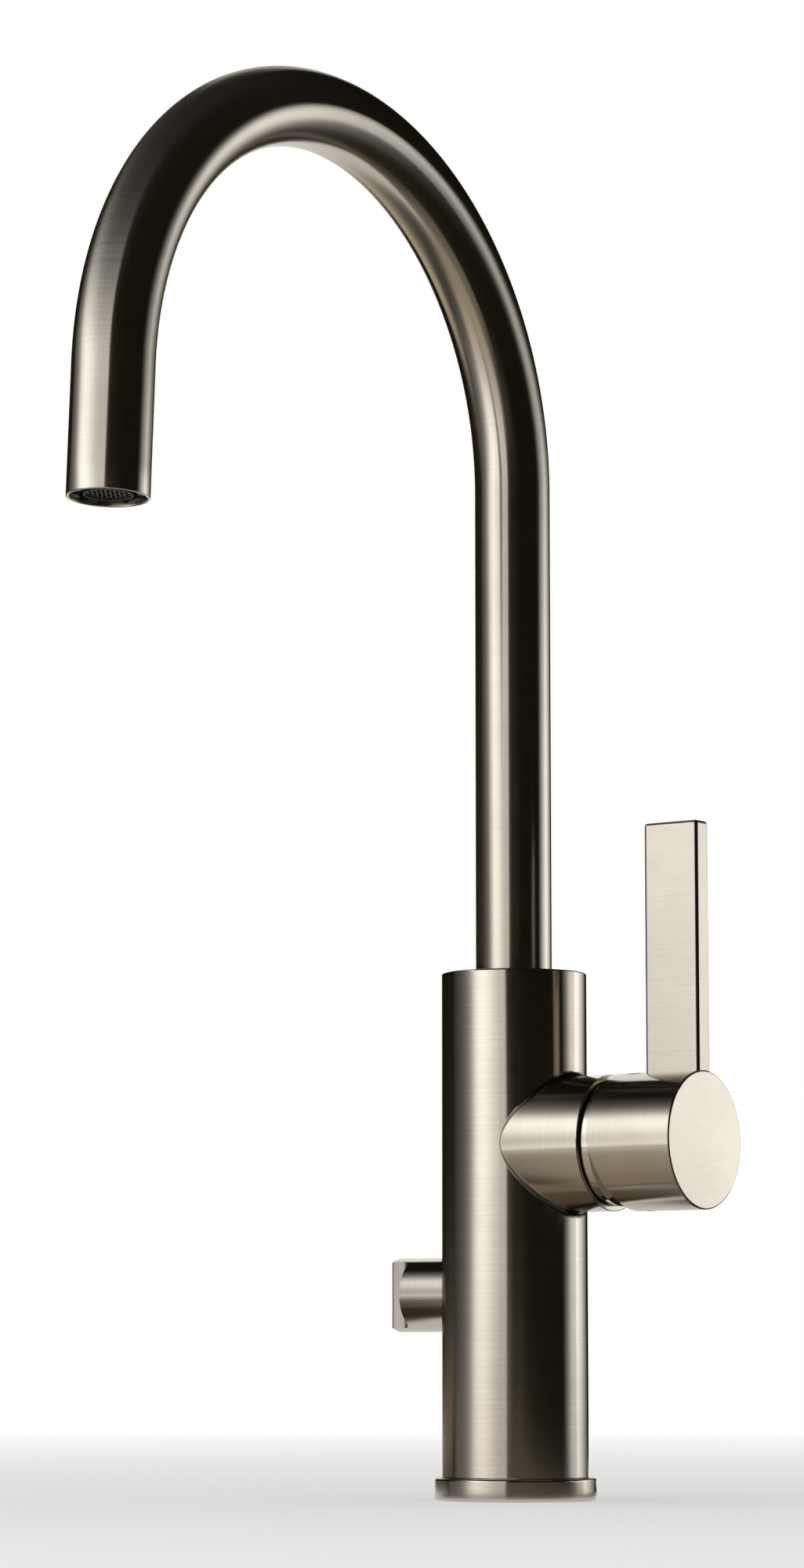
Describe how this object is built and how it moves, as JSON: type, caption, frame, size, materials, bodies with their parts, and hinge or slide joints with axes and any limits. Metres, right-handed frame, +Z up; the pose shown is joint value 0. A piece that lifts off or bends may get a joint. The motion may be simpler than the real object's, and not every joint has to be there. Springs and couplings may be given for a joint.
{
  "type": "kitchen mixer tap",
  "caption": "Kitchen mixer tap in brushed nickel with a high swivelling swan-neck spout, a flat side lever for flow and temperature, and a shut-off knob for an appliance outlet.",
  "frame": {"origin": "centre of the base underside, on the tap's upright axis", "axes": "+Z up along the tap axis, -Y towards the sink along the spout, +X along the lever axis, -X along the shut-off knob's axis"},
  "size_m": [0.1187, 0.2509, 0.4489],
  "materials": {
    "brushed_nickel": "warm nickel, finely brushed, satin",
    "polished_nickel": "polished nickel",
    "bare_brass": "turned brass",
    "stainless_steel": "plain stainless steel",
    "black_rubber": "smooth black rubber",
    "bearing_plastic": "off-white moulded plastic",
    "aerator_plastic": "dark grey moulded plastic",
    "index_plastic": "black plastic",
    "disc_ceramic": "lapped alumina"
  },
  "bodies": {
    "tap_body": {"base_ring": "brushed_nickel", "base_gasket": "black_rubber", "base_o_ring": "black_rubber", "body": "brushed_nickel", "spout_lock_screw": "stainless_steel", "swivel_washer": "bearing_plastic", "cartridge_base": "bearing_plastic", "cartridge_seals": "black_rubber", "fixed_ceramic_disc": "disc_ceramic", "cartridge_case": "bearing_plastic", "cartridge_nut": "bare_brass", "dome_ring": "polished_nickel", "valve_headwork": "bare_brass", "valve_headwork_o_ring": "black_rubber", "valve_seat_seal": "black_rubber", "valve_fixed_disc": "disc_ceramic"},
    "spout": {"spout_tube": "brushed_nickel", "spout_tail": "bare_brass", "spout_o_rings": "black_rubber", "swivel_bushes": "bearing_plastic", "aerator_housing": "aerator_plastic", "aerator_grid": "aerator_plastic", "aerator_insert": "aerator_plastic", "aerator_seal": "black_rubber"},
    "rotor": {"cartridge_rotor": "bearing_plastic", "pivot_pin": "stainless_steel"},
    "lever": {"lever_stem": "stainless_steel", "handle_cap": "brushed_nickel", "lever_bar": "brushed_nickel", "lever_bar_screws": "stainless_steel", "handle_grub_screw": "stainless_steel", "index_plug": "index_plastic"},
    "mixing_disc": {"moving_ceramic_disc": "disc_ceramic", "disc_carrier": "bearing_plastic"},
    "knob": {"shutoff_knob": "brushed_nickel", "knob_grub_screw": "stainless_steel", "valve_spindle": "bare_brass", "valve_spindle_o_ring": "black_rubber", "valve_circlip": "stainless_steel", "valve_moving_disc": "disc_ceramic"}
  },
  "joints": [
    {"name": "spout_swivel", "type": "hinge", "parent": "tap_body", "child": "spout", "pos_m": [0, 0, 0.16], "axis": [0, 0, 1], "range_deg": [-60, 60]},
    {"name": "temperature_turn", "type": "hinge", "parent": "tap_body", "child": "rotor", "pos_m": [0.0295, 0, 0.1142], "axis": [1, 0, 0], "range_deg": [-45, 45]},
    {"name": "flow_tilt", "type": "hinge", "parent": "rotor", "child": "lever", "pos_m": [0.0295, 0, 0.1142], "axis": [0, 1, 0], "range_deg": [0, 22]},
    {"name": "mixing_disc_slide", "type": "slide", "parent": "rotor", "child": "mixing_disc", "axis": [0, 0, 1], "range_m": [0, 0.0028]},
    {"name": "shutoff_turn", "type": "hinge", "parent": "tap_body", "child": "knob", "pos_m": [-0.03, 0, 0.0662], "axis": [-1, 0, 0], "range_deg": [0, 90]}
  ],
  "couplings": [
    {"joint": "mixing_disc_slide", "follows": "flow_tilt", "m_per_rad": 0.00712}
  ]
}
